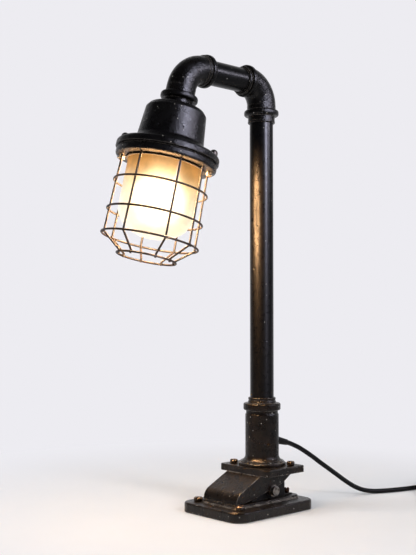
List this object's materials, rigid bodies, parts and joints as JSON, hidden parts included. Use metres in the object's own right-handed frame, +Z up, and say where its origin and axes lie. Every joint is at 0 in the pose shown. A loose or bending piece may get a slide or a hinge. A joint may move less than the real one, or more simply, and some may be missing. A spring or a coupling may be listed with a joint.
{
  "type": "table lamp",
  "caption": "Black iron pipe table lamp: slab foot, tilting bracket, swivelling column and arm, and a caged jar-glass head with a lit bulb, corded with an inline switch and plug.",
  "frame": {"origin": "centre of the foot's underside, on the table", "axes": "+Z up, +X towards the heel where the cord leaves, -X towards the arm and head"},
  "size_m": [0.5032, 0.2222, 0.497],
  "materials": {
    "iron": "black paint on a casting, satin, worn bright at the edges",
    "pipe": "black paint on steel pipe, satin",
    "dark_steel": "blackened steel",
    "wire": "blackened steel wire",
    "steel": "bare steel, dulled",
    "rusty_steel": "browned steel",
    "brass": "plain brass",
    "rubber": "black rubber",
    "cord": "black sheath, satin",
    "plastic": "black, fine grained",
    "porcelain": "glazed",
    "jar_glass": "clear pressed glass lit from inside",
    "bulb_glass": "frosted glass, glowing",
    "stem_glass": "clear glass",
    "filament": "glowing wire"
  },
  "bodies": {
    "foot": {"base_plate": "iron", "base_pad": "rubber", "base_screws": "steel", "hinge_block": "dark_steel", "block_screws": "rusty_steel", "hinge_pin": "steel", "pin_washers": "steel", "pin_clip": "steel", "cord_lead": "cord", "cord_coil": "cord", "cord_tie": "plastic", "cord_tail": "cord", "cord_end": "cord", "switch_base": "plastic", "switch_cover": "plastic", "switch_screws": "steel", "plug_body": "plastic", "plug_boot": "plastic", "plug_pins": "steel"},
    "bracket": {"tilt_bracket": "iron", "plate_screws": "steel", "coupling": "iron", "foot_locknut": "dark_steel", "gland_nut": "dark_steel", "cord_boot": "rubber", "lead_lower": "cord"},
    "column": {"column_pipe": "pipe", "column_elbow": "iron", "arm_nipple": "pipe", "lead_upper": "cord"},
    "head": {"head_elbow": "iron", "head_nipple": "steel", "cap": "iron", "cap_locknut": "steel", "cage_ring": "iron", "flange_bolts": "dark_steel", "flange_nuts": "steel", "cap_gasket": "rubber", "glass_gasket": "rubber", "glass_jar": "jar_glass", "cage_ribs": "wire", "cage_hoops": "wire", "cage_end_hoop": "wire", "lampholder": "porcelain", "holder_shell": "brass", "bulb_base": "brass", "bulb_globe": "bulb_glass", "bulb_stem": "stem_glass", "bulb_filament": "filament", "lead_head": "cord"},
    "rocker": {"switch_rocker": "plastic"}
  },
  "joints": [
    {"name": "base_tilt", "type": "hinge", "parent": "foot", "child": "bracket", "pos_m": [0.0125, 0, 0.0233], "axis": [0, 1, 0], "range_deg": [0, 12], "deforming": ["cord_lead"]},
    {"name": "column_swivel", "type": "hinge", "parent": "bracket", "child": "column", "pos_m": [0.022, 0, 0.3], "axis": [0, 0, 1], "range_deg": [-60, 60]},
    {"name": "head_swivel", "type": "hinge", "parent": "column", "child": "head", "pos_m": [-0.093, 0, 0.479], "axis": [1, 0, 0], "range_deg": [-75, 75]},
    {"name": "switch_rocker_tilt", "type": "hinge", "parent": "foot", "child": "rocker", "pos_m": [0.222, -0.147, 0.0166], "axis": [0, 1, 0], "range_deg": [0, 10]}
  ]
}
